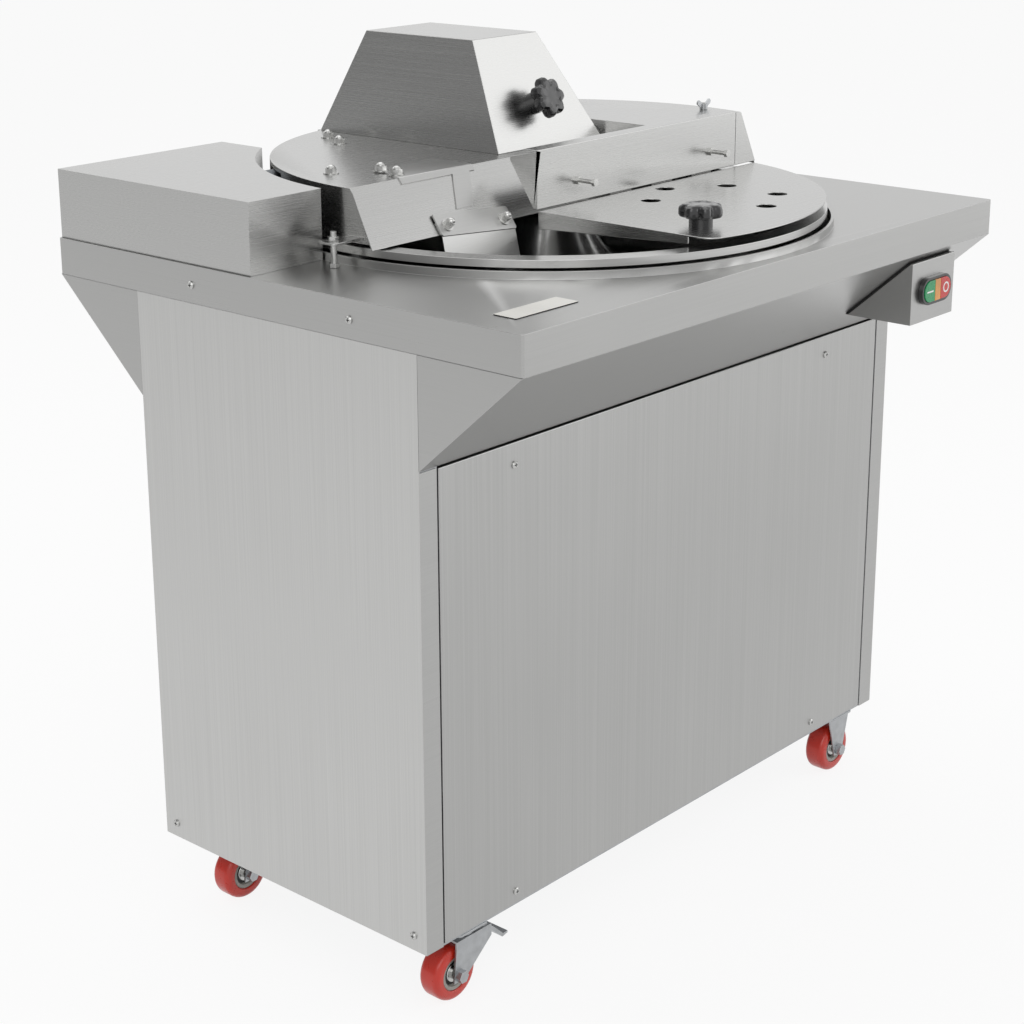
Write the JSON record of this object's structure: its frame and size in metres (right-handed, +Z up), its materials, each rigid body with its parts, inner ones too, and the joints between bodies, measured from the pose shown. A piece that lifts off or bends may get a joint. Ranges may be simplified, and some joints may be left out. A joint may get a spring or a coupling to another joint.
{
  "type": "meat bowl cutter",
  "caption": "Meat bowl cutter: turning bowl under a hinged knife hood, set in a worktop on a stainless steel cabinet with casters.",
  "frame": {"origin": "on the floor under the middle of the worktop", "axes": "+Z up, the switch side faces -Y, +X to the right seen from the front"},
  "size_m": [1.0052, 0.8005, 1.136],
  "materials": {
    "stainless": "vertical brushed grain",
    "polished_stainless": "polished",
    "galvanised_steel": "zinc plated",
    "bright_fasteners": "bright",
    "tool_steel": "ground",
    "cast_iron": "cast",
    "motor_paint": "satin paint",
    "belt_rubber": "matte",
    "black_plastic": "gloss",
    "scraper_steel": "brushed",
    "green_plastic": "gloss",
    "red_plastic": "gloss",
    "plate_metal": "satin, blank",
    "red_tread": "satin polyurethane",
    "hub_plastic": "satin"
  },
  "bodies": {
    "cabinet": {"base_plate": "galvanised_steel", "bowl_gearbox": "cast_iron", "bowl_motor": "motor_paint", "cable_gland": "black_plastic", "caster_plates": "galvanised_steel", "drive_belt": "belt_rubber", "drive_cover": "stainless", "frame": "galvanised_steel", "front_door": "stainless", "hinge_posts": "stainless", "knife_motor": "motor_paint", "name_plate": "plate_metal", "panel_screws": "bright_fasteners", "rear_door": "stainless", "rigid_forks": "galvanised_steel", "shaft_bearings": "tool_steel", "shaft_housing": "cast_iron", "side_panels": "stainless", "skirts": "stainless", "switch_bezel": "black_plastic", "switch_box": "stainless", "worktop": "stainless"},
    "bowl": {"bowl": "polished_stainless", "bowl_spindle": "polished_stainless", "bowl_cap": "polished_stainless"},
    "knife_rotor": {"knife_shaft": "tool_steel", "knives": "tool_steel", "knife_hub": "tool_steel", "shaft_pulley": "cast_iron"},
    "motor_rotor": {"motor_pulley": "cast_iron"},
    "hood": {"hood": "stainless", "knife_cover": "stainless", "right_cover": "stainless", "front_guard": "stainless", "hood_fasteners": "bright_fasteners", "scraper_arm": "stainless", "scraper": "scraper_steel", "rest_bolt": "bright_fasteners", "hinge_straps": "stainless", "guard_hinge_leaf": "stainless"},
    "hood_knob": {"hood_knob": "black_plastic"},
    "lid": {"lid": "stainless", "lid_hinge_leaf": "stainless", "lid_knob": "black_plastic"},
    "wing_nut": {"wing_nut": "galvanised_steel"},
    "start_button": {"start_button": "green_plastic"},
    "stop_button": {"stop_button": "red_plastic"},
    "front_fork": {"front_swivel_fork": "galvanised_steel"},
    "rear_fork": {"rear_swivel_fork": "galvanised_steel"},
    "front_pedal": {"front_brake_pedal": "galvanised_steel"},
    "rear_pedal": {"rear_brake_pedal": "galvanised_steel"},
    "front_left_wheel": {"front_left_tyre": "red_tread", "front_left_hub": "hub_plastic"},
    "rear_left_wheel": {"rear_left_tyre": "red_tread", "rear_left_hub": "hub_plastic"},
    "front_right_wheel": {"front_right_tyre": "red_tread", "front_right_hub": "hub_plastic"},
    "rear_right_wheel": {"rear_right_tyre": "red_tread", "rear_right_hub": "hub_plastic"}
  },
  "joints": [
    {"name": "bowl_spin", "type": "hinge", "parent": "cabinet", "child": "bowl", "pos_m": [0.009, 0, 0.9], "axis": [0, 0, 1], "continuous": true},
    {"name": "knife_spin", "type": "hinge", "parent": "cabinet", "child": "knife_rotor", "pos_m": [-0.2, 0.202, 0.958], "axis": [1, 0, 0], "continuous": true},
    {"name": "motor_spin", "type": "hinge", "parent": "cabinet", "child": "motor_rotor", "pos_m": [-0.44, 0.118, 0.194], "axis": [1, 0, 0], "continuous": true},
    {"name": "hood_hinge", "type": "hinge", "parent": "cabinet", "child": "hood", "pos_m": [0, 0.39, 0.94], "axis": [-1, 0, 0], "range_deg": [0, 75]},
    {"name": "lid_hinge", "type": "hinge", "parent": "hood", "child": "lid", "pos_m": [0.115, -0.083, 0.931], "axis": [-1, 0, 0], "range_deg": [0, 35]},
    {"name": "hood_knob_turn", "type": "hinge", "parent": "hood", "child": "hood_knob", "pos_m": [0.036, 0.04438, 1.046], "axis": [0, -0.9263, 0.3769], "continuous": true},
    {"name": "wing_nut_turn", "type": "hinge", "parent": "hood", "child": "wing_nut", "pos_m": [0.32995, -0.026, 1.0115], "axis": [0, 0, 1], "continuous": true},
    {"name": "start_press", "type": "slide", "parent": "cabinet", "child": "start_button", "axis": [0, 1, 0], "range_m": [0, 0.0022], "stiffness_N_per_m": 400},
    {"name": "stop_press", "type": "slide", "parent": "cabinet", "child": "stop_button", "axis": [0, 1, 0], "range_m": [0, 0.0022], "stiffness_N_per_m": 400},
    {"name": "front_swivel", "type": "hinge", "parent": "cabinet", "child": "front_fork", "pos_m": [-0.413, -0.216, 0.09], "axis": [0, 0, 1], "continuous": true},
    {"name": "front_brake", "type": "hinge", "parent": "front_fork", "child": "front_pedal", "pos_m": [-0.383, -0.216, 0.075], "axis": [0, 1, 0], "range_deg": [0, 12]},
    {"name": "rear_swivel", "type": "hinge", "parent": "cabinet", "child": "rear_fork", "pos_m": [-0.413, 0.172, 0.09], "axis": [0, 0, 1], "continuous": true},
    {"name": "rear_brake", "type": "hinge", "parent": "rear_fork", "child": "rear_pedal", "pos_m": [-0.383, 0.172, 0.075], "axis": [0, 1, 0], "range_deg": [0, 12]},
    {"name": "front_left_roll", "type": "hinge", "parent": "front_fork", "child": "front_left_wheel", "pos_m": [-0.435, -0.216, 0.037], "axis": [0, 1, 0], "continuous": true},
    {"name": "rear_left_roll", "type": "hinge", "parent": "rear_fork", "child": "rear_left_wheel", "pos_m": [-0.435, 0.172, 0.037], "axis": [0, 1, 0], "continuous": true},
    {"name": "front_right_roll", "type": "hinge", "parent": "cabinet", "child": "front_right_wheel", "pos_m": [0.425, -0.216, 0.037], "axis": [0, 1, 0], "continuous": true},
    {"name": "rear_right_roll", "type": "hinge", "parent": "cabinet", "child": "rear_right_wheel", "pos_m": [0.425, 0.172, 0.037], "axis": [0, 1, 0], "continuous": true}
  ],
  "couplings": [
    {"joint": "motor_spin", "follows": "knife_spin", "ratio": 0.49758}
  ]
}
